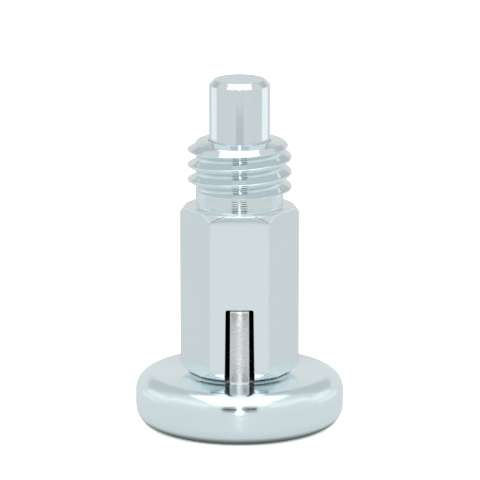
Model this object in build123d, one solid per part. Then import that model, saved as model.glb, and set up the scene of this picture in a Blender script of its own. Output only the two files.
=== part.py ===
from build123d import *
import os
from math import ceil, cos, pi, radians, sin, tan

os.makedirs("parts", exist_ok=True)

# Index plunger for an M12 x 1.75 tapped hole: a slotted hexagon body, a sprung
# locating pin, and a disc pull knob whose two keys stand in the body's slot.
# Millimetres. +Z runs from the knob to the pin's nose and Z = 0 is the knob's
# underside. Two flats of the hexagon face -Y and +Y, and the slot runs through both.

# Knob disc
knob_radius = 12.0
knob_thickness = 5.9
knob_top_round = 2.1
knob_bottom_round = 2.05
flats_per_round = 4

# Boss on the disc: milled down to a low foot, from which two keys are left standing
boss_foot_height = 0.3
key_length = 8.58
key_tip_width = 2.16
key_root_width = 2.27
key_tip_chamfer = 0.25
key_recess_in_flat = 0.05
key_inner_clearance = 0.075

# Room that the slot leaves round the keys at rest
key_end_gap = 0.1
key_side_gap_at_end = 0.445
key_side_gap_at_mouth = 0.49
slot_corner_radius = 0.2

# Hexagon part of the body
across_flats = 11.9
hex_length = 19.32
rear_gap_to_knob = 0.08
rear_chamfer_width = 0.81
rear_chamfer_angle = 43.5
front_chamfer_width = 0.68
front_chamfer_angle = 48.0

# Plain relief, then the rolled thread with round crests
relief_length = 1.95
relief_depth = 0.94
thread_major_radius = 6.0
thread_pitch = 1.75
thread_length = 5.73
thread_depth = 1.05
thread_half_angle = 30.0
thread_crest_radius = 0.25
thread_crest_flats = 3
thread_foot_in_core = 0.1
thread_angle_at_front = 60.0
thread_entry_chamfer = 1.04

# Bore of the body and the wall behind it that the spring pushes on
rear_wall = 1.92
bore_entry_chamfer = 0.12
pin_running_clearance = 0.025
stem_running_clearance = 0.075

# Locating pin: nose, stem, and a thin tail riveted over under the knob
pin_radius = 3.5
pin_reach = 7.0
pin_guided_length = 7.0
pin_tip_chamfer = 0.6
stem_radius = 2.0
tail_step = 0.35
tail_clearance = 0.02
rivet_flare = 0.9
rivet_recess = 0.25

# Compression spring round the stem, with closed and ground ends
wire_diameter = 0.75
spring_bore_clearance = 0.175
active_coils = 5
closed_coil_gap = 0.06
pitch_change_turns = 0.5
points_per_coil = 8
wire_sides = 6

# Heights that follow
key_tip = knob_thickness + key_length
slot_end = key_tip + key_end_gap
boss_foot_top = knob_thickness + boss_foot_height
body_rear = boss_foot_top + rear_gap_to_knob
hex_front = body_rear + hex_length
thread_start = hex_front + relief_length
body_front = thread_start + thread_length
pin_tip = body_front + pin_reach
pin_shoulder = body_front - pin_guided_length
spring_seat = body_rear + rear_wall

# Radii that follow
corner_radius = across_flats / 2 / cos(pi / 6)
relief_radius = thread_major_radius - relief_depth
thread_root_radius = thread_major_radius - thread_depth
bore_radius = pin_radius + pin_running_clearance
rear_hole_radius = stem_radius + stem_running_clearance
key_outer_radius = across_flats / 2 - key_recess_in_flat
key_inner_radius = bore_radius + key_inner_clearance
tail_radius = stem_radius - tail_step
knob_hole_radius = tail_radius + tail_clearance
wire_radius = wire_diameter / 2
spring_radius = bore_radius - spring_bore_clearance - wire_radius


def turned(*outline):
    """Solid of revolution about Z from the (radius, height) corners of its half section."""
    return revolve(Plane.XZ * make_face(Polyline(*outline, close=True)), Axis.Z)


def quarter_round(centre, radius, first_angle, flats):
    """Corners of a quarter circle of narrow flats, anticlockwise about centre from first_angle in degrees."""
    angles = [radians(first_angle + 90 * step / flats) for step in range(flats + 1)]
    return [(centre[0] + radius * cos(angle), centre[1] + radius * sin(angle)) for angle in angles]


def tapered_bar(bottom, top, bottom_width, top_width, round_radius=0.0):
    """Bar along Y, longer than the part is wide, with its own width at each end of its height."""
    corners = (
        (-bottom_width / 2, bottom),
        (bottom_width / 2, bottom),
        (top_width / 2, top),
        (-top_width / 2, top),
    )
    face = make_face(Polyline(*corners, close=True))
    if round_radius:
        face = fillet(face.vertices().group_by(Axis.Y)[-1], round_radius)
    return extrude(Plane.XZ * face, 2 * corner_radius, both=True)


def make_hexagon():
    """Hexagon bar with both ends turned to a cone, two flats across Y."""
    bar = Pos(0, 0, body_rear) * extrude(
        RegularPolygon(across_flats / 2, 6, major_radius=False), hex_length
    )
    rear_circle = corner_radius - rear_chamfer_width
    front_circle = corner_radius - front_chamfer_width
    cone_length = hex_length / 2
    rear_cone = rear_circle + cone_length / tan(radians(rear_chamfer_angle))
    front_cone = front_circle + cone_length / tan(radians(front_chamfer_angle))
    envelope = turned(
        (0, body_rear),
        (rear_circle, body_rear),
        (rear_cone, body_rear + cone_length),
        (front_cone, hex_front - cone_length),
        (front_circle, hex_front),
        (0, hex_front),
    )
    return bar & envelope


def make_thread():
    """Helical ridge: one tooth with a round crest swept up the core, then trimmed to length."""
    half_angle = radians(thread_half_angle)
    crest_centre = thread_major_radius - thread_crest_radius
    flank_apex = crest_centre + thread_crest_radius / sin(half_angle)
    foot = thread_root_radius - thread_foot_in_core
    foot_half_width = (flank_apex - foot) * tan(half_angle)
    crest_span = 180 - 2 * thread_half_angle
    crest_step = crest_span / thread_crest_flats
    crest_angles = [radians(crest_step * step - crest_span / 2) for step in range(thread_crest_flats + 1)]
    crest = [
        (crest_centre + thread_crest_radius * cos(angle), thread_crest_radius * sin(angle))
        for angle in crest_angles
    ]
    tooth = make_face(Polyline((foot, -foot_half_width), *crest, (foot, foot_half_width), close=True))
    turns = ceil(thread_length / thread_pitch + 1)
    helix_foot = body_front - thread_pitch * (turns - 1 + thread_angle_at_front / 360)
    half_turn = Helix(thread_pitch, thread_pitch / 2, thread_major_radius)
    half_turns = [
        (Pos(0, 0, step * thread_pitch / 2) * Rot(0, 0, step * 180) * half_turn).edge()
        for step in range(2 * turns)
    ]
    ridge = Pos(0, 0, helix_foot) * sweep(Plane.XZ * tooth, path=Wire(half_turns), is_frenet=True)
    core = Pos(0, 0, helix_foot - thread_pitch) * Cylinder(
        thread_root_radius, (turns + 2) * thread_pitch, align=(Align.CENTER, Align.CENTER, Align.MIN)
    )
    blank = turned(
        (0, thread_start),
        (thread_major_radius, thread_start),
        (thread_major_radius, body_front - thread_entry_chamfer),
        (thread_major_radius - thread_entry_chamfer, body_front),
        (0, body_front),
    )
    return (core + ridge) & blank


def make_body():
    """Body: hexagon, relief and threaded end, bored for the pin and slotted for the keys."""
    relief = Pos(0, 0, hex_front) * Cylinder(
        relief_radius, relief_length, align=(Align.CENTER, Align.CENTER, Align.MIN)
    )
    bore = turned(
        (0, body_rear),
        (rear_hole_radius, body_rear),
        (rear_hole_radius, spring_seat),
        (bore_radius, spring_seat),
        (bore_radius, body_front - bore_entry_chamfer),
        (bore_radius + bore_entry_chamfer, body_front),
        (0, body_front),
    )
    slot = tapered_bar(
        body_rear,
        slot_end,
        key_root_width + 2 * key_side_gap_at_mouth,
        key_tip_width + 2 * key_side_gap_at_end,
        slot_corner_radius,
    )
    return make_hexagon() + relief + make_thread() - bore - slot


def make_pin():
    """Locating pin in one turning: chamfered nose, stem, and the riveted tail."""
    rivet_foot = rivet_recess + rivet_flare
    return turned(
        (0, rivet_recess),
        (tail_radius + rivet_flare, rivet_recess),
        (tail_radius, rivet_foot),
        (tail_radius, boss_foot_top),
        (stem_radius, boss_foot_top),
        (stem_radius, pin_shoulder),
        (pin_radius, pin_shoulder),
        (pin_radius, pin_tip - pin_tip_chamfer),
        (pin_radius - pin_tip_chamfer, pin_tip),
        (0, pin_tip),
    )


def make_knob():
    """Pull knob in one turning: disc with both rims rounded, the boss's foot, and the two keys."""
    bottom_centre = (knob_radius - knob_bottom_round, knob_bottom_round)
    top_centre = (knob_radius - knob_top_round, knob_thickness - knob_top_round)
    disc = turned(
        (0, 0),
        *quarter_round(bottom_centre, knob_bottom_round, -90, flats_per_round),
        *quarter_round(top_centre, knob_top_round, 0, flats_per_round),
        (key_outer_radius, knob_thickness),
        (key_outer_radius, boss_foot_top),
        (0, boss_foot_top),
    )
    return disc + make_keys() - make_knob_hole()


def make_keys():
    """Both keys: a bored and chamfered boss of which the milling leaves a tapered bar."""
    boss = turned(
        (key_inner_radius, knob_thickness),
        (key_outer_radius, knob_thickness),
        (key_outer_radius, key_tip - key_tip_chamfer),
        (key_outer_radius - key_tip_chamfer, key_tip),
        (key_inner_radius, key_tip),
    )
    return boss & tapered_bar(knob_thickness, key_tip, key_root_width, key_tip_width)


def make_knob_hole():
    """Hole for the pin's tail, countersunk from below for the riveted end."""
    countersink_foot = rivet_recess + rivet_flare
    return turned(
        (0, 0),
        (knob_hole_radius + rivet_flare, 0),
        (knob_hole_radius + rivet_flare, rivet_recess),
        (knob_hole_radius, countersink_foot),
        (knob_hole_radius, boss_foot_top),
        (0, boss_foot_top),
    )


def make_spring():
    """Spring whose pitch widens smoothly from the closed end coils to the active ones."""
    closed_pitch = wire_diameter + closed_coil_gap
    room = pin_shoulder - spring_seat
    coils = active_coils + 2
    ramp = pitch_change_turns
    extra_pitch = (room - coils * closed_pitch) / (active_coils - ramp)

    def height(turn):
        inner = min(max(turn - 1, 0), active_coils)
        if inner < ramp:
            spread = inner**2 / (2 * ramp)
        elif inner > active_coils - ramp:
            spread = active_coils - ramp - (active_coils - inner) ** 2 / (2 * ramp)
        else:
            spread = inner - ramp / 2
        return turn * closed_pitch + spread * extra_pitch

    steps = coils * points_per_coil
    turns = [step / points_per_coil for step in range(steps + 1)]
    points = [
        (spring_radius * cos(2 * pi * turn), spring_radius * sin(2 * pi * turn), spring_seat + height(turn))
        for turn in turns
    ]
    path = Spline(*points)
    section = (path ^ 0) * RegularPolygon(wire_radius, wire_sides)
    wire = sweep(section, path=path, is_frenet=True)
    between_seats = turned(
        (0, spring_seat),
        (bore_radius, spring_seat),
        (bore_radius, pin_shoulder),
        (0, pin_shoulder),
    )
    return wire & between_seats


for node, solid in (
    ("plunger_pin", make_pin()),
    ("pull_knob", make_knob()),
    ("compression_spring", make_spring()),
    ("hex_body", make_body()),
):
    solid.label = node
    export_step(solid, f"parts/{node}.step")
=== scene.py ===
"""Looks, light and camera of the index plunger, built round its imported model.

Shapes are worked out in millimetres and put into their meshes in metres.
+Z runs from the knob's underside to the pin's nose, and the body's slot runs along Y.
"""

import logging
import math
from dataclasses import dataclass, field
from enum import Enum

import bmesh
import bpy
import numpy as np
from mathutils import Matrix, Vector


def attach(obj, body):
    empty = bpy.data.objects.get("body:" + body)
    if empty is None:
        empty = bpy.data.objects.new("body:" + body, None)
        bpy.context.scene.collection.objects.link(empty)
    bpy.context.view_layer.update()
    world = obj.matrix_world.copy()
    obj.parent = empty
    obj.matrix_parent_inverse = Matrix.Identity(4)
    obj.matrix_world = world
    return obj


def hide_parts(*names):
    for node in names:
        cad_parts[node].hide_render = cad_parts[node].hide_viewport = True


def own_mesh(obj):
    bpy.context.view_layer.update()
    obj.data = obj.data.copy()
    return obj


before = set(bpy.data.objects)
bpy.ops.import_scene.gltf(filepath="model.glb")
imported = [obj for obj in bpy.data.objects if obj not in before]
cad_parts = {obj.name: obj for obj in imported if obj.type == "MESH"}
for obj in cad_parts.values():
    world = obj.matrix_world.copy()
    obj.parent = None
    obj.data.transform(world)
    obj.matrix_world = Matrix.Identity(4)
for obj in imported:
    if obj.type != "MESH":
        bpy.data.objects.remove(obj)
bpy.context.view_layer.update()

log = logging.getLogger("index_plunger")

MM = 0.001
TURN = 2 * math.pi
JOIN_DISTANCE = 1e-8
LEAST_LENGTH = 1e-9
CORNER_SHARE = 0.45
CORNER_STEPS = 3
SUPPORT = 0.05
SUPPORT_SHARE = 0.3

Array = np.ndarray
Colour = tuple[float, float, float]
Numbers = tuple[float, ...]
Section = tuple[tuple[Array | float, Array | float], ...]
Inputs = dict[str | int, object]


class Rides(Enum):
    """The CAD body that a piece moves with."""

    HOUSING = "housing"
    SPRING_END = "spring_end"
    PULLER = "puller"


def show(name: str, data: bpy.types.ID) -> bpy.types.Object:
    """Makes an object for a mesh, lamp or camera.

    Args:
        name: name of the object.
        data: what it shows.

    Returns:
        The object, linked to the scene.
    """
    holder = bpy.data.objects.new(name, data)
    bpy.context.scene.collection.objects.link(holder)
    return holder


# Surfaces


def lengths(legs: Array) -> Array:
    """Length of each leg, held just above nothing so that it can divide."""
    return np.maximum(np.linalg.norm(legs, axis=-1, keepdims=True), LEAST_LENGTH)


def bend(before: Array, corner: Array, after: Array, setback: float, steps: int) -> Array:
    """Rows of one soft corner of an outline.

    Formula: the parabola that leaves the leg before the corner and joins the leg after it at the
    same distance from the corner, the setback, cut down to CORNER_SHARE of the shorter leg.

    Args:
        before: (radius, height) of the leg's start, one for each column.
        corner: (radius, height) of the sharp corner.
        after: (radius, height) of the next leg's end.
        setback: distance from the corner at which the curve starts and ends.
        steps: straight steps in the curve.

    Returns:
        Array of steps + 1 rows, columns, 2.
    """
    into = corner - before
    out = after - corner
    reach = np.minimum(setback, CORNER_SHARE * np.minimum(lengths(into), lengths(out)))
    start = corner - into / lengths(into) * reach
    end = corner + out / lengths(out) * reach
    share = np.linspace(0, 1, steps + 1)[:, None, None]
    return (1 - share) ** 2 * start + 2 * share * (1 - share) * corner + share**2 * end


def station(radius: Array | float, height: Array | float, angle: Array) -> Array:
    """(radius, height) pairs for columns at these angles."""
    return np.stack(np.broadcast_arrays(radius, height, angle)[:2], axis=-1)


def soft_rows(section: Section, angle: Array, setbacks: Numbers, between: list[Numbers]) -> list[Array]:
    """Rows along straight legs with soft corners.

    Args:
        section: radius and height of each sharp corner; the first and last are free ends.
        angle: angles of the columns.
        setbacks: setback of each soft corner.
        between: shares of the way from each soft corner to the next at which the rows between them lie.

    Returns:
        The blocks of rows in order: a soft corner, the rows after it, the next soft corner, and so on.
    """
    stations = [station(radius, height, angle) for radius, height in section]
    blocks = []
    for index, setback in enumerate(setbacks, start=1):
        curve = bend(*stations[index - 1 : index + 2], setback, CORNER_STEPS)
        if blocks:
            last = blocks[-1][-1]
            shares = np.array(between[index - 2])[:, None, None]
            blocks.append(last + (curve[0] - last) * shares)
        blocks.append(curve)
    return blocks


def arc(centre: tuple[float, float], radius: float, first: float, last: float, steps: int) -> Array:
    """Points of a circle's arc: centre plus radius times the cosine and sine of evenly spaced angles.

    Args:
        centre: (radius, height) of the arc's centre.
        radius: radius of the arc.
        first: first angle in degrees.
        last: last angle in degrees.
        steps: straight steps in the arc.

    Returns:
        Array of steps + 1 points, 2.
    """
    angles = np.radians(np.linspace(first, last, steps + 1))
    return np.stack([centre[0] + radius * np.cos(angles), centre[1] + radius * np.sin(angles)], axis=-1)


def soft_outline(corners: list[tuple[float, float, float]], steps: int = 4) -> Array:
    """Outline of straight legs with soft corners, and a row close to each end of every leg.

    Args:
        corners: (radius, height, setback) of each corner; the first and last are free ends.
        steps: straight steps in each soft corner.

    Returns:
        Array of points, 2.
    """
    places = np.array([corner[:2] for corner in corners], float)[:, None]
    rows = [places[0]]
    for index in range(1, len(corners) - 1):
        before, corner, after = places[index - 1 : index + 2]
        curve = bend(before, corner, after, corners[index][2], steps)[:, 0]
        lead_in, lead_out = before - curve[:1], after - curve[-1:]
        near_in = curve[:1] + lead_in * np.minimum(SUPPORT_SHARE, SUPPORT / lengths(lead_in))
        near_out = curve[-1:] + lead_out * np.minimum(SUPPORT_SHARE, SUPPORT / lengths(lead_out))
        rows += [near_in, curve, near_out]
    rows.append(places[-1])
    return np.concatenate(rows)


def polar(radius: Array | float, angle: Array, height: Array | float) -> Array:
    """Points from radius, angle in radians and height."""
    return np.stack(np.broadcast_arrays(radius * np.cos(angle), radius * np.sin(angle), height), axis=-1)


def revolve(outline: Array, columns: int) -> Array:
    """Grid of a turned surface: every (radius, height) of the outline at evenly spaced angles about Z."""
    angles = np.linspace(0, TURN, columns, endpoint=False)
    return polar(outline[:, :1], angles, outline[:, 1:])


def soft_minimum(first: Array, second: Array | float, width: float) -> Array:
    """Smaller of two values, with a parabola in place of the crease where they cross.

    Formula: with h = 0.5 + 0.5 (second - first) / width, held between 0 and 1, the value is
    second (1 - h) + first h - width h (1 - h).
    """
    share = np.clip(0.5 + 0.5 * (second - first) / width, 0, 1)
    return second * (1 - share) + first * share - width * share * (1 - share)


@dataclass
class Shell:
    """Surface of one piece, gathered patch by patch and joined where the patches' edges meet."""

    points: list[Array] = field(default_factory=list)
    quads: list[Array] = field(default_factory=list)
    count: int = 0

    def add(
        self,
        grid: Array,
        close_rows: bool = False,
        close_columns: bool = False,
        keep: Array | None = None,
    ) -> None:
        """Adds a grid of points and the four-sided faces between its neighbours.

        Args:
            grid: points in millimetres, rows by columns by 3.
            close_rows: whether the last row joins the first.
            close_columns: whether the last column joins the first.
            keep: which faces are made, rows by columns; all where it is left out.
        """
        rows, columns = grid.shape[:2]
        index = np.arange(rows * columns).reshape(rows, columns) + self.count
        if close_rows:
            index = np.vstack([index, index[:1]])
        if close_columns:
            index = np.hstack([index, index[:, :1]])
        quads = np.stack([index[:-1, :-1], index[:-1, 1:], index[1:, 1:], index[1:, :-1]], axis=-1)
        quads = quads.reshape(-1, 4)
        if keep is not None:
            quads = quads[keep.reshape(-1)]
        self.points.append(grid.reshape(-1, 3))
        self.quads.append(quads)
        self.count += rows * columns

    def make(self, name: str) -> bpy.types.Object:
        """Makes the piece: doubles merged, loose points dropped, faces outwards and smooth.

        Args:
            name: name of the piece.

        Returns:
            The new object at the origin, with its place in its mesh.
        """
        mesh = bpy.data.meshes.new(name)
        points = np.concatenate(self.points) * MM
        mesh.from_pydata(points.tolist(), [], np.concatenate(self.quads).tolist())
        work = bmesh.new()
        work.from_mesh(mesh)
        loose = [vertex for vertex in work.verts if not vertex.link_faces]
        bmesh.ops.delete(work, geom=loose, context="VERTS")
        bmesh.ops.remove_doubles(work, verts=work.verts[:], dist=JOIN_DISTANCE)
        bmesh.ops.recalc_face_normals(work, faces=work.faces[:])
        work.to_mesh(mesh)
        work.free()
        mesh.shade_smooth()
        return show(name, mesh)


# Pieces


@dataclass
class HexBody:
    """Body: hexagon, relief and rolled thread in one piece, bored for the pin and slotted for the keys.

    Lengths are in millimetres and angles in degrees. The tuples place rows and columns of the mesh:
    heights beside the slot, above it and down the bore, shares of the way along a leg or a wall, and
    angles from the slot's edge and from each edge of the hexagon. The rows above the slot bend over
    its end and run level again from calm_height on.
    """

    flat: float = 5.95
    corner_power: float = 220.0
    rear: float = 6.28
    hex_front: float = 25.6
    rear_circle: float = 6.06
    rear_angle: float = 43.5
    front_circle: float = 6.19
    front_angle: float = 48.0
    least_chamfer: float = 0.05
    edge: float = 0.09
    relief_radius: float = 5.06
    relief_foot_round: float = 0.16
    relief_top_round: float = 0.05
    feed: float = 0.26
    groove_at_top: float = 0.004
    groove_at_foot: float = 0.01
    groove_fade: float = 12.0
    relief_rows: int = 84
    thread_start: float = 27.55
    thread_foot: float = 0.08
    thread_lead: float = 0.1
    tip: float = 33.28
    pitch: float = 1.75
    crest_height: float = 31.238
    crest_centre: float = 5.8
    crest_radius: float = 0.2
    root_centre: float = 5.2845
    root_radius: float = 0.3
    half_angle: float = 30.0
    tip_radius: float = 4.94
    entry_round: float = 0.05
    face_fall: float = 0.24
    row_pitch: float = 0.04
    fine_edge: float = 0.06
    mouth_edge: float = 0.03
    bore_radius: float = 3.525
    mouth_radius: float = 3.645
    hole_radius: float = 2.075
    ledge: float = 8.2
    slot_half_at_mouth: float = 1.68
    slot_half_at_end: float = 1.58
    slot_end: float = 14.58
    slot_round: float = 0.2
    slot_bevel: float = 0.08
    slot_bevel_steps: int = 3
    end_round_from: float = 15.0
    end_round_steps: int = 5
    end_columns: int = 15
    face_lead: float = 1.0
    cone_shares: Numbers = (0.15, 0.85)
    leg_shares: Numbers = (0.08, 0.5, 0.92)
    mouth_shares: Numbers = (0.1, 0.5, 0.9)
    wall_shares: Numbers = (0.03, 0.5, 0.97, 1.0)
    beside_slot: Numbers = (7.6, 8.1, 8.3, 9.5, 11.0, 12.5, 13.7)
    calm_height: float = 15.2
    calm_shares: Numbers = (0.15, 0.35, 0.65, 1.0)
    above_slot: Numbers = (17.0, 19.0, 21.0, 23.0, 24.6)
    bore_heights: Numbers = (33.0, 30.0, 25.0, 20.0)
    corner_zone: float = 28.6
    near_slot: Numbers = (0.0, 0.4, 1.2, 2.5)
    near_edge: Numbers = (0.2, 0.45, 0.8, 1.4)
    approach_columns: int = 9
    side_columns: int = 40

    def hexagon(self, angle: Array) -> Array:
        """Radius of the hexagon.

        Formula: the flat's distance over a high-power norm of the cosines of the angles to the six
        flats, which rounds the hexagon's edges a little.

        Args:
            angle: angles round the axis in radians.

        Returns:
            A radius for each angle.
        """
        sides = np.radians(30 + 60 * np.arange(6))
        facing = np.clip(np.cos(angle[..., None] - sides), 0, None)
        return self.flat / (facing**self.corner_power).sum(-1) ** (1 / self.corner_power)

    def thread(self, angle: Array, height: Array | float) -> Array:
        """Radius of the thread.

        Formula: the distance along Z from the nearest crest, which climbs one pitch a turn, picks
        the crest's arc, the straight flank or the root's arc; a cone at the tip cuts them down.

        Args:
            angle: angles round the axis in radians.
            height: heights, of a shape that fits the angles'.

        Returns:
            A radius for each angle and height.
        """
        rise = height - self.crest_height - self.pitch * angle / TURN
        away = np.abs((rise + self.pitch / 2) % self.pitch - self.pitch / 2)
        half = math.radians(self.half_angle)
        crest_side = self.crest_radius * math.cos(half)
        root_side = self.pitch / 2 - self.root_radius * math.cos(half)
        flank_top = self.crest_centre + self.crest_radius * math.sin(half)
        crest = self.crest_centre + np.sqrt(np.clip(self.crest_radius**2 - away**2, 0, None))
        flank = flank_top - (away - crest_side) / math.tan(half)
        root_depth = np.clip(self.root_radius**2 - (self.pitch / 2 - away) ** 2, 0, None)
        root = self.root_centre - np.sqrt(root_depth)
        radius = np.select([away < crest_side, away < root_side], [crest, flank], root)
        return soft_minimum(radius, self.tip_radius + self.tip - height, self.entry_round)

    def grooved(self, wall: Array, angle: Array) -> Array:
        """Relief's wall with the fine helical groove that the turning tool left.

        Formula: the radius gains the groove's depth times the cosine of one turn for each feed along
        Z and one turn round the axis; the depth grows in a straight line from the top to the foot,
        and fades to nothing at either end.

        Args:
            wall: (radius, height) of the plain wall from foot to top, rows by columns.
            angle: angle of each column in radians.

        Returns:
            The grooved wall, in the same order.
        """
        share = np.linspace(0, 1, len(wall))[:, None]
        depth = self.groove_at_foot + (self.groove_at_top - self.groove_at_foot) * share
        fade = np.clip(self.groove_fade * share, 0, 1) * np.clip(self.groove_fade * (1 - share), 0, 1)
        wave = np.cos(TURN * wall[..., 1] / self.feed - angle)
        return np.stack([wall[..., 0] + depth * fade * wave, wall[..., 1]], axis=-1)

    def slot_half(self, height: Array | float) -> Array:
        """Half the slot's width at a height, no narrower than where its end corners start."""
        share = (np.minimum(height, self.round_start) - self.rear) / (self.slot_end - self.rear)
        return self.slot_half_at_mouth + (self.slot_half_at_end - self.slot_half_at_mouth) * share

    @property
    def round_start(self) -> float:
        """Height at which the slot's side turns into its end corner."""
        return self.slot_end - self.slot_round

    @property
    def calm_edge(self) -> float:
        """Angle in degrees from a slotted flat's middle to the slot's edge, above the slot."""
        half = float(self.slot_half(self.round_start)) + self.slot_bevel
        return math.degrees(math.atan(half / self.flat))

    def sector(self) -> Array:
        """Columns in degrees from the -Y flat's middle, from the slot's edge round to the +Y slot's edge.

        Formula: close columns near each edge of the hexagon and near the slot, wider ones between,
        and the second half a mirror of the first.

        Returns:
            Array of angles, from small to large.
        """
        near = self.calm_edge + np.array(self.near_slot)
        far = np.linspace(near[-1], self.corner_zone, self.approach_columns)
        edge = np.array(self.near_edge)
        corner = np.concatenate([-edge[::-1], [0], edge])
        approach = np.concatenate([near[:-1], far[:-1]])
        between = np.linspace(30 + corner[-1], 90 + corner[0], self.side_columns)[1:-1]
        half = np.concatenate([approach, 30 + corner, between, 90 - edge[::-1]])
        return np.concatenate([half, [90], 180 - half[::-1]])

    def end_outline(self, radius: float) -> Array:
        """Inner columns of the slot's closed end: an arc, the straight end and an arc.

        Args:
            radius: radius of the two corner arcs.

        Returns:
            Array of points, 2: place across the slot, from one side to the other, and height.
        """
        middle = float(self.slot_half(self.round_start)) - self.slot_round
        first = arc((middle, self.round_start), radius, self.end_round_from, 90, self.end_round_steps)
        across = np.linspace(middle, -middle, self.end_columns)[1:-1]
        straight = np.stack([across, np.full_like(across, self.round_start + radius)], axis=-1)
        return np.concatenate([first, straight, first[::-1] * [-1, 1]])

    @property
    def outer_end(self) -> Array:
        """The slot's end on the flat, outside the bevel."""
        return self.end_outline(self.slot_round + self.slot_bevel)

    @property
    def inner_end(self) -> Array:
        """The slot's end in the bore."""
        return self.end_outline(self.slot_round)

    def angles(self, edge: Array, spread: bool, middle: Array) -> Array:
        """Angles of all columns in radians for some rows.

        Formula: the sector's columns are scaled to start at the row's own edge of the slot. With
        spread that goes for all of them, and without it for those between the slot and the corner
        zone, so that the others keep to the hexagon's edges.

        Args:
            edge: angle in degrees from a slotted flat's middle to the slot's edge, one for each row.
            spread: whether all columns are scaled.
            middle: angles in degrees of the columns inside the slot's width.

        Returns:
            Array of rows, columns.
        """
        sector = self.sector()
        start = self.calm_edge
        edge = edge[:, None]
        if spread:
            side = edge + (sector - start) * (180 - 2 * edge) / (180 - 2 * start)
        else:
            folded = np.minimum(sector, 180 - sector)
            side = edge + (folded - start) * (self.corner_zone - edge) / (self.corner_zone - start)
            side = np.where(folded < self.corner_zone, side, folded)
            side = np.where(sector > 90, 180 - side, side)
        middle = np.broadcast_to(middle, (len(edge), middle.shape[-1]))
        return np.radians(np.hstack([side - 90, 90 + middle, side + 90, 270 + middle]))

    def outer_angles(self, heights: Array) -> Array:
        """Angles of the columns on outside rows at these heights."""
        edge = np.degrees(np.arctan((self.slot_half(heights) + self.slot_bevel) / self.flat))
        return self.angles(edge, False, self.outer_middle)

    @property
    def outer_middle(self) -> Array:
        """Angles in degrees of the columns inside the slot's width, on the flat."""
        return -np.degrees(np.arctan(self.outer_end[:, 0] / self.flat))

    def rear_rows(self, angle: Array) -> Array:
        """Rows of the rear rim, its turned chamfer and the start of the flats.

        Formula: the cone through the rear circle leaves a chamfer that is as wide as the hexagon
        stands outside that circle, so it is widest at the hexagon's edges.

        Args:
            angle: angles of the columns in radians.

        Returns:
            Array of rows, columns, 2.
        """
        hexagon = self.hexagon(angle)
        leg = np.maximum(hexagon - self.rear_circle, self.least_chamfer)
        section = (
            (hexagon - leg - self.face_lead, self.rear),
            (hexagon - leg, self.rear),
            (hexagon, self.rear + leg * math.tan(math.radians(self.rear_angle))),
            (hexagon, self.calm_height),
        )
        blocks = soft_rows(section, angle, (self.edge, self.edge), [self.cone_shares])
        return np.concatenate([*blocks, blocks[-1][-1:] + [0, self.fine_edge]])

    def front_rows(self, angle: Array) -> Array:
        """Rows of the front chamfer, the grooved relief, the thread, the front face and the bore's mouth.

        Args:
            angle: angles of the columns in radians.

        Returns:
            Array of rows, columns, 2.
        """
        hexagon = self.hexagon(angle)
        leg = np.maximum(hexagon - self.front_circle, self.least_chamfer)
        lead = self.thread_start + self.thread_lead
        section = (
            (hexagon, self.above_slot[-1]),
            (hexagon, self.hex_front - leg * math.tan(math.radians(self.front_angle))),
            (hexagon - leg, self.hex_front),
            (self.relief_radius, self.hex_front),
            (self.relief_radius, self.thread_start),
            (self.thread(angle, self.thread_start), self.thread_start),
            (self.thread(angle, lead), lead),
        )
        setbacks = (self.edge, self.edge, self.relief_foot_round, self.relief_top_round, self.fine_edge)
        relief = tuple(np.linspace(0, 1, self.relief_rows)[1:-1])
        legs = [self.leg_shares, self.leg_shares, relief, self.leg_shares]
        blocks = soft_rows(section, angle, setbacks, legs)
        wall = 2 * legs.index(relief) + 1
        blocks[wall] = self.grooved(blocks[wall], angle)

        count = int(round((self.tip - self.thread_start) / self.row_pitch))
        brow = self.tip - self.face_fall
        foot = self.thread_start + self.thread_foot
        heights = np.linspace(foot, brow - self.fine_edge, count)[:, None]
        thread = station(self.thread(angle, heights), heights, angle)
        section = (
            (self.thread(angle, heights[-1]), heights[-1]),
            (self.thread(angle, brow), brow),
            (self.mouth_radius, self.tip),
            (self.bore_radius, self.tip - self.mouth_radius + self.bore_radius),
            (self.bore_radius, self.bore_heights[0]),
        )
        setbacks = (self.fine_edge, self.mouth_edge, self.mouth_edge)
        mouth = soft_rows(section, angle, setbacks, [self.mouth_shares] * 2)
        return np.concatenate([*blocks, thread, *mouth])

    def bore_rows(self, edge_heights: Array, calm_heights: Array) -> tuple[Array, Array]:
        """Rows down the bore to the slot's end, then beside the slot to the rear face.

        Args:
            edge_heights: heights of the outside rows beside the slot.
            calm_heights: heights of the outside rows just above the slot.

        Returns:
            The rows' (radius, height) pairs, and their angles in radians.
        """
        ledge_row = int(np.searchsorted(edge_heights, self.ledge)) - 1
        beside = edge_heights.copy()
        beside[ledge_row : ledge_row + 2] = self.ledge
        below = np.arange(len(beside)) <= ledge_row
        upper = np.concatenate([self.bore_heights, calm_heights[::-1]])
        heights = np.concatenate([upper, beside[::-1]])
        radii = np.where(below, self.hole_radius, self.bore_radius)[::-1]
        radii = np.concatenate([np.full(len(upper), self.bore_radius), radii])
        settled = self.bore_heights[-1]
        share = np.clip((settled - heights) / (settled - self.calm_height), 0, 1)
        slot_edge = np.degrees(np.arcsin(self.slot_half(heights) / radii))
        edge = self.calm_edge + (slot_edge - self.calm_edge) * share
        inner_middle = -np.degrees(np.arcsin(self.inner_end[:, 0] / self.bore_radius))
        middle = self.outer_middle + (inner_middle - self.outer_middle) * share[:, None]
        angles = self.angles(edge, True, middle)
        return station(radii[:, None], heights[:, None], angles), angles

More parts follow.
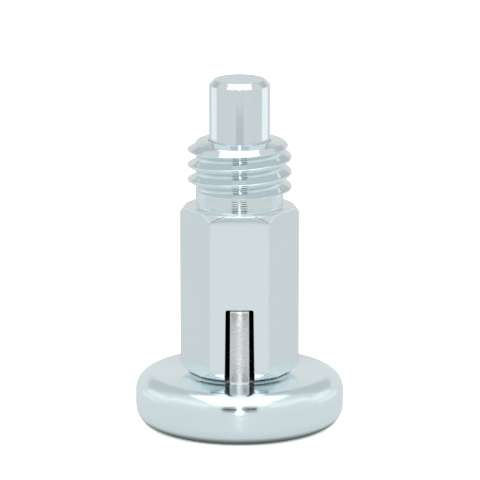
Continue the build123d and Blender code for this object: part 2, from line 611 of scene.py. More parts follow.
    def slot_wall(self, grid: Array, columns: slice, side: int, side_rows: int) -> Array:
        """Grid of one slot's wall, from the outline on the flat to the outline in the bore.

        Formula: the outline follows a parabola into the slot, which is the bevel, and goes on
        straight to its inner place.

        Args:
            grid: the body's grid.
            columns: the grid's columns inside the slot's width.
            side: 1 for the +Y slot and -1 for the -Y slot.
            side_rows: how many rows lie beside the slot.

        Returns:
            Array of stations, points, 3.
        """
        before, after = columns.start - 1, columns.stop % grid.shape[1]
        top, bottom = side_rows - 1, len(grid) - side_rows
        outer = np.concatenate([grid[: top + 1, before], grid[top, columns], grid[: top + 1, after][::-1]])
        inner = np.concatenate([grid[bottom:, before][::-1], grid[bottom, columns], grid[bottom:, after]])
        shift = inner - outer
        shift[:, 1] = 0
        shift[:side_rows, 2] = 0
        shift[-side_rows:, 2] = 0
        depth = np.array([0, -side * self.slot_bevel, 0])
        share = np.linspace(0, 1, self.slot_bevel_steps + 1)[:, None, None]
        bevel = outer + (1 - (1 - share) ** 2) * shift + share**2 * depth
        reach = np.array(self.wall_shares)[:, None, None]
        return np.concatenate([bevel, bevel[-1] + (inner - bevel[-1]) * reach])

    def build(self) -> bpy.types.Object:
        """Builds the body as one closed grid and the walls of its two slots, and joins them.

        Formula: a row follows the closed half section, up the outside and down the bore; a column
        goes round the axis. Inside the slot's width the rows start and end on the slot's outline.

        Returns:
            The piece.
        """
        slot_heights = np.array([*self.beside_slot, self.round_start])
        calm_shares = np.array(self.calm_shares)
        calm_heights = self.round_start + calm_shares * (self.calm_height - self.round_start)
        heights = np.concatenate([slot_heights, calm_heights, self.above_slot])
        rear_angle = self.outer_angles(np.array([self.rear]))[0]
        flat_angles = self.outer_angles(heights)
        rear_rows = self.rear_rows(rear_angle)
        flat_rows = station(self.hexagon(flat_angles), heights[:, None], flat_angles)
        beside = np.concatenate([rear_rows, flat_rows[: len(slot_heights)]])
        bore_rows, bore_angles = self.bore_rows(beside[:, 0, 1], calm_heights)
        blocks = (
            (rear_rows, rear_angle),
            (flat_rows, flat_angles),
            (self.front_rows(flat_angles[-1]), flat_angles[-1]),
            (bore_rows, bore_angles),
        )
        rows = np.concatenate([block for block, _ in blocks])
        angle = np.concatenate([np.broadcast_to(angles, block.shape[:2]) for block, angles in blocks])

        # Inside the slot's width the first and last rows bend down to the slot's outline
        outer_end, inner_end = self.outer_end, self.inner_end
        sector, inside = len(self.sector()), len(outer_end)
        slots = [slice(start, start + inside) for start in (sector, 2 * sector + inside)]
        side_rows = len(beside)
        top, bottom = side_rows - 1, len(rows) - side_rows
        bent = np.concatenate([[0.0], calm_shares])[:, None]
        height = rows[..., 1].copy()
        for columns in slots:
            outer = outer_end[:, 1] + bent * (self.calm_height - outer_end[:, 1])
            inner = inner_end[:, 1] + bent * (self.calm_height - inner_end[:, 1])
            height[top : top + len(bent), columns] = outer
            height[bottom + 1 - len(bent) : bottom + 1, columns] = inner[::-1]
        grid = polar(rows[..., 0], angle, height)
        walls = [self.slot_wall(grid, columns, side, side_rows) for side, columns in zip((1, -1), slots)]

        # Rear face, from the hole out to the rim, on the walls' own stations at the slots
        length = np.linalg.norm(walls[0][:, 0] - walls[0][0, 0], axis=-1)
        share = (length / length[-1])[1:-1][::-1, None, None]
        rear_face = grid[0] + (grid[-1] - grid[0]) * share
        keep = np.ones((len(grid) + len(rear_face), grid.shape[1]), bool)
        for wall, columns in zip(walls, slots):
            rear_face[:, columns.start - 1] = wall[1:-1, 0][::-1]
            rear_face[:, columns.stop % grid.shape[1]] = wall[1:-1, -1][::-1]
            keep[:top, columns.start - 1 : columns.stop] = False
            keep[bottom:, columns.start - 1 : columns.stop] = False
        shell = Shell()
        shell.add(np.concatenate([grid, rear_face]), close_rows=True, close_columns=True, keep=keep)
        for wall in walls:
            shell.add(wall)
        return shell.make("body_turning")


@dataclass
class PullKnob:
    """Knob: a disc with two rounded rims and the two keys that stand in the body's slot."""

    radius: float = 12.0
    thickness: float = 5.9
    top_round: float = 2.1
    bottom_round: float = 2.05
    rim_steps: int = 20
    hole_radius: float = 1.67
    recess_radius: float = 2.57
    recess_depth: float = 0.25
    recess_edge: float = 0.05
    fine_edge: float = 0.03
    foot_radius: float = 5.7
    foot_slope_start: float = 6.35
    foot_slope_end: float = 5.76
    foot_slope_top: float = 6.16
    foot_slope_round: float = 0.2
    foot_top: float = 6.2
    columns: int = 256
    key_tip: float = 14.48
    key_outer: float = 5.9
    key_inner: float = 3.6
    key_half_at_foot: float = 1.135
    key_half_at_tip: float = 1.08
    key_least_half: float = 1e-4
    key_chamfer: float = 0.3
    key_chamfer_lean: float = 0.75
    key_chamfer_support: float = 0.08
    key_edge: float = 0.06
    key_edge_steps: int = 4
    key_side_shares: Numbers = (0.03, 0.2, 0.35, 0.5, 0.65, 0.8, 0.97)
    key_sink: float = 0.02
    key_heights: Numbers = (9.0, 12.0)
    key_foot_inset: float = 0.98
    key_tip_insets: Numbers = (0.1, 0.4, 0.8, 1.0799)
    key_inner_share: float = 0.9

    def disc(self) -> Array:
        """Surface of the disc: its closed half section turned about Z.

        Returns:
            Array of rows, columns, 3.
        """
        low_centre = (self.radius - self.bottom_round, self.bottom_round)
        high_centre = (self.radius - self.top_round, self.thickness - self.top_round)
        low = arc(low_centre, self.bottom_round, -90, 0, self.rim_steps)
        high = arc(high_centre, self.top_round, 0, 90, self.rim_steps)
        countersink_top = self.recess_depth + self.recess_radius - self.hole_radius
        inner = soft_outline(
            [
                (high_centre[0] - SUPPORT, self.thickness, 0),
                (self.foot_slope_start, self.thickness, self.foot_slope_round),
                (self.foot_slope_end, self.foot_slope_top, self.fine_edge),
                (self.foot_radius, self.foot_top, self.fine_edge),
                (self.hole_radius, self.foot_top, self.fine_edge),
                (self.hole_radius, countersink_top, self.fine_edge),
                (self.recess_radius, self.recess_depth, self.fine_edge),
                (self.recess_radius, 0, self.recess_edge),
                (low_centre[0] - SUPPORT, 0, 0),
            ]
        )
        return revolve(np.concatenate([low, high, inner]), self.columns)

    def key_loop(self, half: Array, outer: Array, inner: Array) -> Array:
        """Loops round the -Y key: a soft-cornered rectangle whose two ends bulge onto their circles.

        Args:
            half: half the key's width, one for each loop.
            outer: radius of the outer end.
            inner: radius of the inner end.

        Returns:
            Array of loops, points, 2.
        """
        far = np.sqrt(outer**2 - half**2)
        near = np.sqrt(inner**2 - half**2)
        places = ((half, -far), (half, -near), (-half, -near), (-half, -far))
        corners = [np.stack(place, axis=-1) for place in places]
        ring = [corners[-1], *corners, corners[0]]
        curves = [bend(*ring[index : index + 3], self.key_edge, self.key_edge_steps) for index in range(4)]
        shares = np.array(self.key_side_shares)[:, None, None]
        loop = []
        for curve, following in zip(curves, curves[1:] + curves[:1]):
            loop += [curve, curve[-1] + (following[0] - curve[-1]) * shares]
        loop = np.concatenate(loop).transpose(1, 0, 2)
        across = np.clip(loop[..., 0] ** 2, 0, half[:, None] ** 2)
        outer, inner, far, near = (values[:, None] for values in (outer, inner, far, near))
        bulge_far = np.sqrt(outer**2 - across) - far
        bulge_near = np.sqrt(inner**2 - across) - near
        toward_far = np.clip((-loop[..., 1] - near) / (far - near), 0, 1)
        loop[..., 1] -= toward_far * bulge_far + (1 - toward_far) * bulge_near
        return loop

    def key(self) -> Array:
        """Grid of the -Y key: loops from the middle line of its foot to the middle line of its tip.

        Formula: each loop is the tapered key's section at its height, drawn in on all sides by its
        inset; the outer end also leans in along the chamfer.

        Returns:
            Array of loops, points, 3.
        """
        edge = arc((self.key_edge, 0), self.key_edge, 180, 90, self.key_edge_steps)
        chamfer_foot = self.key_tip - self.key_chamfer
        foot = self.thickness - self.key_sink
        above = self.thickness + self.key_sink
        wall = [foot, above, *self.key_heights, chamfer_foot - self.key_chamfer_support]
        rounded = self.key_tip - self.key_edge + edge[:, 1]
        heights = np.concatenate([[foot], wall, rounded, [self.key_tip] * len(self.key_tip_insets)])
        inset = np.concatenate([[self.key_foot_inset], [0] * len(wall), edge[:, 0], self.key_tip_insets])
        lean = (heights - self.thickness) / (self.key_tip - self.thickness)
        half = self.key_half_at_foot + (self.key_half_at_tip - self.key_half_at_foot) * lean
        half = np.maximum(half - inset, self.key_least_half)
        outer = self.key_outer - self.key_chamfer_lean * np.clip(heights - chamfer_foot, 0, None) - inset
        loop = self.key_loop(half, outer, self.key_inner + inset * self.key_inner_share)
        tall = np.broadcast_to(heights[:, None, None], (*loop.shape[:2], 1))
        return np.concatenate([loop, tall], axis=-1)

    def build(self) -> bpy.types.Object:
        """Builds the disc and both keys as one piece.

        Returns:
            The piece.
        """
        shell = Shell()
        shell.add(self.disc(), close_rows=True, close_columns=True)
        key = self.key()
        shell.add(key, close_columns=True)
        shell.add(key * [-1, -1, 1], close_columns=True)
        return shell.make("knob_turning")


@dataclass
class PlungerPin:
    """Locating pin: nose, stem and the tail riveted over under the knob, in one turning."""

    nose_radius: float = 3.5
    stem_radius: float = 2.0
    tail_radius: float = 1.65
    tail_end: float = 0.25
    flare: float = 0.9
    foot_top: float = 6.2
    shoulder: float = 26.28
    tip: float = 40.28
    chamfer: float = 0.6
    edge: float = 0.08
    flare_edge: float = 0.05
    fine_edge: float = 0.03
    tip_edge: float = 0.1
    edge_steps: int = 5
    columns: int = 192

    def build(self) -> bpy.types.Object:
        """Builds the pin by turning its half section about Z.

        Returns:
            The piece.
        """
        outline = soft_outline(
            [
                (0, self.tail_end, 0),
                (self.tail_radius + self.flare, self.tail_end, self.edge),
                (self.tail_radius, self.tail_end + self.flare, self.flare_edge),
                (self.tail_radius, self.foot_top, self.fine_edge),
                (self.stem_radius, self.foot_top, self.fine_edge),
                (self.stem_radius, self.shoulder, self.fine_edge),
                (self.nose_radius, self.shoulder, self.edge),
                (self.nose_radius, self.tip - self.chamfer, self.fine_edge),
                (self.nose_radius - self.chamfer, self.tip, self.tip_edge),
                (0, self.tip, 0),
            ],
            self.edge_steps,
        )
        shell = Shell()
        shell.add(revolve(outline, self.columns), close_columns=True)
        return shell.make("pin_turning")


@dataclass
class CompressionSpring:
    """Spring round the pin's stem, with closed and ground end coils."""

    wire_radius: float = 0.375
    coil_radius: float = 2.975
    seat: float = 8.2
    shoulder: float = 26.28
    active_coils: float = 5.0
    closed_coils: float = 2.0
    closed_pitch: float = 0.81
    ramp: float = 0.5
    steps_per_coil: int = 44
    columns: int = 16

    def build(self) -> bpy.types.Object:
        """Builds the wire as a round tube along the coils.

        Formula: the path climbs the closed pitch each turn, plus an extra rise that grows with the
        square of the turns inside the ramp and in a straight line between the ramps; a ring of the
        wire's radius stands square to the path, and points past a seat are ground flat onto it.

        Returns:
            The piece.
        """
        coils = self.active_coils + self.closed_coils
        turn = np.linspace(0, coils, int(coils * self.steps_per_coil) + 1)
        active = self.active_coils
        extra = (self.shoulder - self.seat - coils * self.closed_pitch) / (active - self.ramp)
        inner = np.clip(turn - self.closed_coils / 2, 0, active)
        start = inner**2 / (2 * self.ramp)
        end = active - self.ramp - (active - inner) ** 2 / (2 * self.ramp)
        near_ends = [inner < self.ramp, inner > active - self.ramp]
        spread = np.select(near_ends, [start, end], inner - self.ramp / 2)
        height = self.seat + turn * self.closed_pitch + spread * extra
        outward = polar(1.0, TURN * turn, 0.0)
        path = polar(self.coil_radius, TURN * turn, height)
        along = np.gradient(path, axis=0)
        along /= np.linalg.norm(along, axis=-1, keepdims=True)
        upward = np.cross(outward, along)
        ring = np.linspace(0, TURN, self.columns, endpoint=False)[None, :, None]
        around = outward[:, None] * np.cos(ring) + upward[:, None] * np.sin(ring)
        tube = path[:, None] + self.wire_radius * around
        ends = np.broadcast_to(path[[0, -1], None], (2, self.columns, 3))
        tube = np.concatenate([ends[:1], tube, ends[1:]])
        tube[..., 2] = np.clip(tube[..., 2], self.seat, self.shoulder)
        shell = Shell()
        shell.add(tube, close_columns=True)
        return shell.make("spring_coils")


# Finishes


@dataclass
class Sheet:
    """A node tree with short calls for placing and joining its nodes."""

    tree: bpy.types.NodeTree

    def feed(self, socket: bpy.types.NodeSocket, value: object) -> None:
        """Gives an input its value, or links it to the socket that it takes its value from."""
        if isinstance(value, bpy.types.NodeSocket):
            self.tree.links.new(value, socket)
        else:
            socket.default_value = value

    def add(self, kind: str, inputs: Inputs | None = None, **settings: object) -> bpy.types.Node:
        """Places a node.

        Args:
            kind: type of the node.
            inputs: values or sockets for its inputs, by name or number.
            settings: its other settings by name.

        Returns:
            The node.
        """
        node = self.tree.nodes.new(kind)
        for name, value in settings.items():
            setattr(node, name, value)
        for name, value in (inputs or {}).items():
            self.feed(node.inputs[name], value)
        return node

    def maths(self, operation: str, *inputs: object) -> bpy.types.NodeSocket:
        """Places a Math node and returns its result.

        Args:
            operation: the Math node's operation.
            inputs: sockets or numbers, in order.
        """
        return self.add("ShaderNodeMath", dict(enumerate(inputs)), operation=operation).outputs[0]

    def length(self, vector: bpy.types.NodeSocket) -> bpy.types.NodeSocket:
        """Places a node that measures a vector and returns its length."""
        return self.add("ShaderNodeVectorMath", {0: vector}, operation="LENGTH").outputs["Value"]

    def between(self, value: bpy.types.NodeSocket, low: float, high: float) -> bpy.types.NodeSocket:
        """Places nodes that give 1 where a value lies between two numbers and 0 elsewhere."""
        above, below = self.maths("GREATER_THAN", value, low), self.maths("LESS_THAN", value, high)
        return self.maths("MULTIPLY", above, below)

    def smooth(self, value: bpy.types.NodeSocket, start: float, end: float) -> bpy.types.NodeSocket:
        """Places a smooth step from 0 at the start value to 1 at the end value and returns its result."""
        span = {"Value": value, "From Min": start, "From Max": end}
        return self.add("ShaderNodeMapRange", span, interpolation_type="SMOOTHSTEP").outputs[0]


def turning_marks(radius_share: float = 0.6) -> bpy.types.NodeTree:
    """Shader group of the fine rings that a turning tool leaves, each coming and going round the axis.

    Formula: noise read at a point whose first two coordinates are the direction from the axis times
    the wander, and whose third is the height plus a share of the radius, times the rings in a metre.
    It changes fast across a turned face or wall and slowly round it.

    Args:
        radius_share: share of the radius that is added to the height.

    Returns:
        The group; its output Marks lies round 0.5.
    """
    tree = bpy.data.node_groups.new("turning marks", "ShaderNodeTree")
    tree.interface.new_socket("Position", in_out="INPUT", socket_type="NodeSocketVector")
    tree.interface.new_socket("Rings per metre", in_out="INPUT", socket_type="NodeSocketFloat")
    tree.interface.new_socket("Wander", in_out="INPUT", socket_type="NodeSocketFloat")
    tree.interface.new_socket("Marks", in_out="OUTPUT", socket_type="NodeSocketFloat")
    sheet = Sheet(tree)
    given = sheet.add("NodeGroupInput").outputs
    parts = sheet.add("ShaderNodeSeparateXYZ", {0: given["Position"]}).outputs
    flat = sheet.add("ShaderNodeCombineXYZ", {"X": parts["X"], "Y": parts["Y"]}).outputs[0]
    direction = sheet.add("ShaderNodeVectorMath", {0: flat}, operation="NORMALIZE").outputs[0]
    around = sheet.add("ShaderNodeSeparateXYZ", {0: direction}).outputs
    across = sheet.maths("MULTIPLY_ADD", sheet.length(flat), radius_share, parts["Z"])
    place = {
        "X": sheet.maths("MULTIPLY", around["X"], given["Wander"]),
        "Y": sheet.maths("MULTIPLY", around["Y"], given["Wander"]),
        "Z": sheet.maths("MULTIPLY", across, given["Rings per metre"]),
    }
    point = sheet.add("ShaderNodeCombineXYZ", place).outputs[0]
    noise = sheet.add("ShaderNodeTexNoise", {"Vector": point, "Scale": 1.0})
    sheet.add("NodeGroupOutput", {"Marks": noise.outputs[0]})
    return tree


@dataclass(frozen=True)
class SteelFinish:
    """One steel surface: its colour, its gloss and the marks that the tool left.

    Lengths are in metres. Between the heights turned_from and turned_to the marks are at full
    strength and turned_roughness is added; elsewhere they have share_elsewhere of their strength.
    Within a radius of the axis and between two heights the colour is a second one: painted shade
    on the body's bore and slot walls and on the pin's stem, which lie in shade inside the body,
    and the keys' own greyer tone on the knob.
    """

    name: str
    colour: Colour
    roughness: float
    rings: float
    ring_depth: float
    wander: float = 6.0
    roughness_spread: float = 0.1
    turned_from: float = -1.0
    turned_to: float = 1.0
    turned_roughness: float = 0.0
    share_elsewhere: float = 1.0
    # The dark default is painted shade, for surfaces that lie in shade inside the body.
    shade_and_tone_colour: Colour = (0.22, 0.24, 0.25)
    shade_and_tone_radius: float = 0.0
    shade_and_tone_from: float = -1.0
    shade_and_tone_to: float = 1.0
    cloud: float = 0.02
    cloud_scale: float = 260.0
    stretch: float = 0.0
    stretch_turn: float = 0.25

    def shade(self, strength: float) -> tuple[float, float, float, float]:
        """The colour times a strength, opaque."""
        return (*[value * strength for value in self.colour], 1.0)

    def make(self, marks: bpy.types.NodeTree) -> bpy.types.Material:
        """Makes the material.

        Args:
            marks: the turning marks group.

        Returns:
            The material, reading Object coordinates.
        """
        material = bpy.data.materials.new(self.name)
        material.use_nodes = True
        material.node_tree.nodes.clear()
        sheet = Sheet(material.node_tree)
        place = sheet.add("ShaderNodeTexCoord").outputs["Object"]
        parts = sheet.add("ShaderNodeSeparateXYZ", {0: place}).outputs

        cloud = sheet.add("ShaderNodeTexNoise", {"Vector": place, "Scale": self.cloud_scale}).outputs[0]
        tint = {"Fac": cloud, "Color1": self.shade(1 - self.cloud), "Color2": self.shade(1 + self.cloud)}
        clouded = sheet.add("ShaderNodeMixRGB", tint).outputs[0]
        # Near the axis the colour is swapped for the second one: painted shade inside the body on the body
        # and pin, the keys' own tone on the knob.
        squared = sheet.maths("MULTIPLY", parts["X"], parts["X"])
        squared = sheet.maths("MULTIPLY_ADD", parts["Y"], parts["Y"], squared)
        shade_and_tone = sheet.maths("LESS_THAN", squared, self.shade_and_tone_radius**2)
        shade_and_tone = sheet.maths("MULTIPLY", shade_and_tone, sheet.between(parts["Z"], self.shade_and_tone_from, self.shade_and_tone_to))
        colours = {"Fac": shade_and_tone, "Color1": clouded, "Color2": (*self.shade_and_tone_colour, 1.0)}

        rings = {"Position": place, "Rings per metre": self.rings, "Wander": self.wander}
        group = sheet.add("ShaderNodeGroup", rings, node_tree=marks)
        turned = sheet.between(parts["Z"], self.turned_from, self.turned_to)
        share = sheet.maths("MULTIPLY_ADD", turned, 1 - self.share_elsewhere, self.share_elsewhere)
        cut = sheet.maths("MULTIPLY", sheet.maths("SUBTRACT", group.outputs["Marks"], 0.5), share)
        rough = sheet.maths("MULTIPLY_ADD", cut, self.roughness_spread, self.roughness)
        rough = sheet.maths("MULTIPLY_ADD", turned, self.turned_roughness, rough)
        bump = sheet.add("ShaderNodeBump", {"Strength": 1.0, "Distance": self.ring_depth, "Height": cut})

        surface = {
            "Base Color": sheet.add("ShaderNodeMixRGB", colours).outputs[0],
            "Metallic": 1.0,
            "Roughness": rough,
            "Anisotropic": self.stretch,
            "Anisotropic Rotation": self.stretch_turn,
            "Tangent": sheet.add("ShaderNodeTangent", direction_type="RADIAL", axis="Z").outputs[0],
            "Normal": bump.outputs[0],
        }
        shader = sheet.add("ShaderNodeBsdfPrincipled", surface)
        sheet.add("ShaderNodeOutputMaterial", {"Surface": shader.outputs[0]})
        return material


FINISHES = {
    "plated_body": SteelFinish(
        name="plated body",
        colour=(0.75, 0.845, 0.87),
        roughness=0.06,
        rings=7000.0,
        ring_depth=1e-5,
        wander=16.0,
        turned_from=0.02575,
        turned_to=0.02745,
        share_elsewhere=0.0,
        # Painted shade: the bore and slot walls, in shade inside the body, are painted dark.
        shade_and_tone_radius=0.00586,
        shade_and_tone_to=0.025,
        stretch=0.5,
    ),
    "plated_knob": SteelFinish(
        name="plated knob",
        # Painted light: lighter than the body's plating, standing in for the brighter light on the knob's
        # wall.
        colour=(0.805, 0.925, 0.95),
        roughness=0.17,
        rings=7000.0,
        ring_depth=3e-5,
        turned_from=0.00605,
        turned_to=0.0142,
        turned_roughness=0.11,
        share_elsewhere=0.7,
        # The keys and their foot take a greyer tone of their own.
        shade_and_tone_colour=(0.74, 0.76, 0.77),
        shade_and_tone_radius=0.0065,
        shade_and_tone_from=0.00605,
        shade_and_tone_to=0.0142,
        stretch=0.93,
    ),
    "polished_pin": SteelFinish(
        name="polished pin",
        colour=(0.755, 0.84, 0.865),
        roughness=0.06,
        rings=12000.0,
        ring_depth=2e-7,
        roughness_spread=0.05,
        turned_from=0.04026,
        turned_roughness=0.5,
        # Painted shade: the stem and tail, in shade inside the body and the knob, are painted dark.
        shade_and_tone_radius=0.0021,
        shade_and_tone_to=0.026,
    ),
    "spring_wire": SteelFinish(
        name="spring wire",
        colour=(0.16, 0.17, 0.17),
        roughness=0.3,
        rings=9000.0,
        ring_depth=1e-7,
        cloud=0.1,
    ),
}


# Studio


@dataclass(frozen=True)
class Placed:
    """One rectangle in the studio.

    Azimuth and elevation are its direction from the plunger in degrees: azimuth 0 is the camera's
    side (-Y) and 90 the right (+X). Its distance and its sides are in metres.
    """

    name: str
    azimuth: float
    elevation: float
    distance: float
    width: float
    height: float


@dataclass(frozen=True)
class SoftLamp(Placed):
    """One evenly glowing rectangle."""

    radiance: float


@dataclass(frozen=True)
class Card(Placed):
    """One plain rectangle that only the metal sees, as bright as its tone."""

    tone: float
    lying: bool = False


LAMPS = (
    SoftLamp("overhead lamp", 0.0, 81.0, 0.4, 0.4, 0.56, 0.7),
    SoftLamp("left shoulder lamp", -66.0, 39.0, 0.45, 0.4, 0.17, 0.22),
    SoftLamp("right shoulder lamp", 66.0, 39.0, 0.45, 0.4, 0.17, 0.22),
    SoftLamp("left side lamp", -108.0, 20.0, 0.5, 0.36, 0.17, 0.2),
    SoftLamp("right side lamp", 108.0, 20.0, 0.5, 0.36, 0.17, 0.2),
    SoftLamp("front strip lamp", 0.0, 31.0, 0.5, 0.06, 0.2, 1.6),
    SoftLamp("low strip lamp", 0.0, 10.5, 0.5, 0.06, 0.16, 3.2),
)
CARDS = (
    Card("dark card on the left", -10.0, 14.9, 0.095, 0.0288, 0.038, 0.01),
    Card("dark card on the right", 10.0, 14.9, 0.095, 0.0288, 0.038, 0.01),
    Card("white card on the left", -113.0, -5.3, 0.14, 0.09, 0.013, 1.0),
    Card("white card on the right", 112.0, -5.3, 0.14, 0.1, 0.013, 1.05),
    Card("white card on the floor in front", 0.0, 0.0, 0.071, 0.024, 0.08, 0.85, lying=True),
    # Painted shadow: a grey card that glows for the metal alone stands in for shade on the floor further
    # out in front.
    Card("painted shadow card on the floor in front", 1.0, 0.0, 0.152, 0.08, 0.044, 0.62, lying=True),
)


def matt_rectangle(name: str, width: float, height: float) -> bpy.types.Object:
    """Makes a flat rectangle round the origin, with its own matt material that can glow white.

    Args:
        name: name of the rectangle and of its material.
        width: side along X in metres.
        height: side along Y in metres.

    Returns:
        The new object.
    """
    wide, tall = width / 2, height / 2
    mesh = bpy.data.meshes.new(name)
    corners = [(-wide, -tall, 0), (wide, -tall, 0), (wide, tall, 0), (-wide, tall, 0)]
    mesh.from_pydata(corners, [], [(0, 1, 2, 3)])
    material = bpy.data.materials.new(name)
    material.use_nodes = True
    shader = material.node_tree.nodes["Principled BSDF"]
    shader.inputs["Specular IOR Level"].default_value = 0.0
    shader.inputs["Emission Color"].default_value = (1, 1, 1, 1)
    mesh.materials.append(material)
    return show(name, mesh)


@dataclass
class Studio:
    """Pale floor, soft lamps and the camera at the photograph's viewing angle.

    Lengths are in metres. Tones and glows are strengths, and 1 is white.
    """

    camera_place: tuple[float, float, float] = (0.00005, -0.5162, 0.1481)
    camera_target: tuple[float, float, float] = (0.00005, 0.0, 0.02141)
    lens: float = 347.5
    nearest: float = 0.01
    farthest: float = 20.0
    middle: tuple[float, float, float] = (0.0, 0.0, 0.02)
    floor_side: float = 6.0
    floor_drop: float = 0.00002
    floor_card_height: float = 0.0002
    floor_tone: float = 0.84
    floor_tone_to_camera: float = 1.9
    floor_glow_to_camera: float = 0.2
    floor_tone_in_metal: float = 0.32
    floor_glow_in_metal: float = 0.39
    shade_from: float = 0.0112
    shade_to: float = 0.0122
    ambient: float = 0.9
    wall_tone_in_metal: float = 0.77
    back_tone: float = 0.76
    back_lean: float = 0.35
    back_from: float = 0.56
    back_to: float = 0.68
    back_rise_from: float = 0.3
    back_rise_to: float = 0.45

    def camera(self) -> None:
        """Places the camera and makes it the scene's own."""
        data = bpy.data.cameras.new("camera")
        data.lens = self.lens
        data.clip_start = self.nearest
        data.clip_end = self.farthest
        holder = show("camera", data)
        holder.location = self.camera_place
        aim = Vector(self.camera_target) - Vector(self.camera_place)
        holder.rotation_euler = aim.to_track_quat("-Z", "Y").to_euler()
        bpy.context.scene.camera = holder

    def floor(self) -> None:
        """Lays the pale floor, white to the camera apart from the plunger's own shadow.

        The plunger stands on its knob, so the floor goes with the knob when the two are drawn apart.
        Formula: metal sees the floor's darker tone and, from shade_to outwards, a glow on top of it,
        which fades in from shade_from in a smooth step. Inside shade_from the glow is left out: a
        painted contact shadow round the knob, seen only in the metal's reflections.
        """
        floor = matt_rectangle("floor", self.floor_side, self.floor_side)
        floor.location.z = -self.floor_drop
        sheet = Sheet(floor.active_material.node_tree)
        path = sheet.add("ShaderNodeLightPath").outputs
        camera, glossy = path["Is Camera Ray"], path["Is Glossy Ray"]
        plain = self.floor_tone
        tone = sheet.maths("MULTIPLY_ADD", camera, self.floor_tone_to_camera - plain, plain)
        tone = sheet.maths("MULTIPLY_ADD", glossy, self.floor_tone_in_metal - plain, tone)
        away = sheet.length(sheet.add("ShaderNodeTexCoord").outputs["Object"])
        # Painted shadow: the glow that metal sees is left out near the knob.
        mirrored = sheet.maths("MULTIPLY", glossy, sheet.smooth(away, self.shade_from, self.shade_to))
        glow = sheet.maths("MULTIPLY", camera, self.floor_glow_to_camera)
        glow = sheet.maths("MULTIPLY_ADD", mirrored, self.floor_glow_in_metal, glow)
        shader = sheet.tree.nodes["Principled BSDF"]
        sheet.feed(shader.inputs["Roughness"], 1.0)
        sheet.feed(shader.inputs["Base Color"], tone)
        sheet.feed(shader.inputs["Emission Strength"], glow)
        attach(floor, Rides.PULLER.value)

    def world(self) -> None:
        """Surrounds the scene with pale light: white to the camera, greyer in metal and more so behind.

        Formula: in metal the strength is cut to back_tone where a direction's Y plus back_lean times
        its Z passes from back_from to back_to and its Z from back_rise_from to back_rise_to, each in
        a smooth step.
        """
        world = bpy.data.worlds.new("studio")
        world.use_nodes = True
        sheet = Sheet(world.node_tree)
        path = sheet.add("ShaderNodeLightPath").outputs
        mirrored = sheet.maths("MAXIMUM", path["Is Glossy Ray"], path["Is Transmission Ray"])
        strength = sheet.maths("MULTIPLY_ADD", path["Is Camera Ray"], 1 - self.ambient, self.ambient)
        strength = sheet.maths("MULTIPLY_ADD", mirrored, self.wall_tone_in_metal - self.ambient, strength)
        place = sheet.add("ShaderNodeTexCoord").outputs["Generated"]
        parts = sheet.add("ShaderNodeSeparateXYZ", {0: place}).outputs
        behind = sheet.maths("MULTIPLY_ADD", parts["Z"], self.back_lean, parts["Y"])
        behind = sheet.smooth(behind, self.back_from, self.back_to)
        above = sheet.smooth(parts["Z"], self.back_rise_from, self.back_rise_to)
        grey = sheet.maths("MULTIPLY", sheet.maths("MULTIPLY", behind, above), mirrored)
        cut = sheet.maths("MULTIPLY_ADD", grey, self.back_tone - 1, 1.0)
        background = sheet.tree.nodes["Background"]
        sheet.feed(background.inputs["Color"], (1, 1, 1, 1))
        sheet.feed(background.inputs["Strength"], sheet.maths("MULTIPLY", strength, cut))
        bpy.context.scene.world = world

    def hang(self, holder: bpy.types.Object, placed: Placed) -> None:
        """Puts a lamp or card where its settings say and turns it to face the plunger.

        Args:
            holder: the lamp or card.
            placed: its settings.
        """
        turn, lift = math.radians(placed.azimuth), math.radians(placed.elevation)
        away = Vector((math.sin(turn) * math.cos(lift), -math.cos(turn) * math.cos(lift), math.sin(lift)))
        holder.location = Vector(self.middle) + away * placed.distance
        holder.rotation_euler = (-away).to_track_quat("-Z", "Y").to_euler()
        holder.visible_camera = False

    def lamp(self, lamp: SoftLamp) -> None:
        """Hangs one soft lamp that faces the plunger.

        Formula: an evenly glowing rectangle of radiance L and area A is a lamp of pi times L times A watts.

        Args:
            lamp: the lamp's settings.
        """
        data = bpy.data.lights.new(lamp.name, "AREA")
        data.shape = "RECTANGLE"
        data.size = lamp.width
        data.size_y = lamp.height
        data.energy = math.pi * lamp.radiance * lamp.width * lamp.height
        self.hang(show(lamp.name, data), lamp)

    def card(self, card: Card) -> None:
        """Stands one card, or lays it on the floor and lets it go with the floor.

        Args:
            card: the card's settings.
        """
        holder = matt_rectangle(card.name, card.width, card.height)
        shader = holder.active_material.node_tree.nodes["Principled BSDF"]
        shader.inputs["Base Color"].default_value = (0, 0, 0, 1)
        shader.inputs["Emission Strength"].default_value = card.tone
        self.hang(holder, card)
        holder.visible_diffuse = False
        holder.visible_shadow = False
        if card.lying:
            holder.location.z = self.floor_card_height
            holder.rotation_euler = (0, 0, math.radians(card.azimuth))
            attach(holder, Rides.PULLER.value)

    def build(self) -> None:
        """Sets up camera, floor, world, lamps and cards."""
        self.camera()
        self.floor()
        self.world()
        for lamp in LAMPS:
            self.lamp(lamp)
        for card in CARDS:
            self.card(card)
        bpy.context.scene.view_settings.view_transform = "Standard"


def dress(piece: bpy.types.Object, node: str, slot: str, rides: Rides, marks: bpy.types.NodeTree) -> None:
    """Gives a finished piece the material of its slot's finish, hides the CAD node that it
    replaces and attaches it to the body that it rides on.

    Args:
        piece: the finished piece.
        node: CAD node that it replaces.
        slot: the record's material slot, which names its finish too.
        rides: body that it moves with.
        marks: the turning marks group.
    """
    piece.data.materials.append(FINISHES[slot].make(marks))
    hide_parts(node)
    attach(piece, rides.value)
    log.info("%s: %d faces, rides on %s", piece.name, len(piece.data.polygons), rides.value)


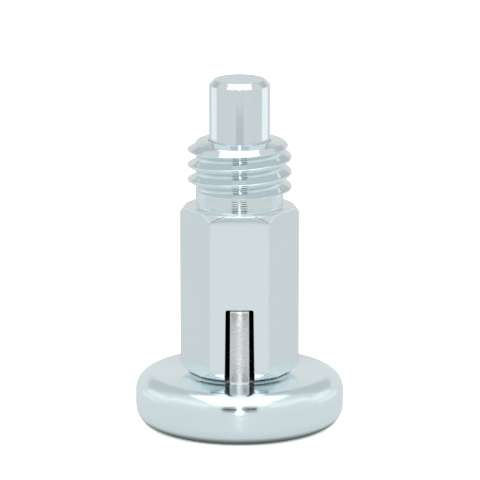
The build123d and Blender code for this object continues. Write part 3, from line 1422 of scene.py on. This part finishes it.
def main() -> None:
    """Builds the pieces in order, then the studio."""
    logging.basicConfig(level=logging.INFO, format="%(message)s")
    marks = turning_marks()
    dress(HexBody().build(), "hex_body", "plated_body", Rides.HOUSING, marks)
    dress(PullKnob().build(), "pull_knob", "plated_knob", Rides.PULLER, marks)
    dress(PlungerPin().build(), "plunger_pin", "polished_pin", Rides.PULLER, marks)

    spring = CompressionSpring()
    coils = spring.build()
    dress(coils, "compression_spring", "spring_wire", Rides.SPRING_END, marks)
    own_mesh(coils)

    Studio().build()


if __name__ == "__main__":
    main()
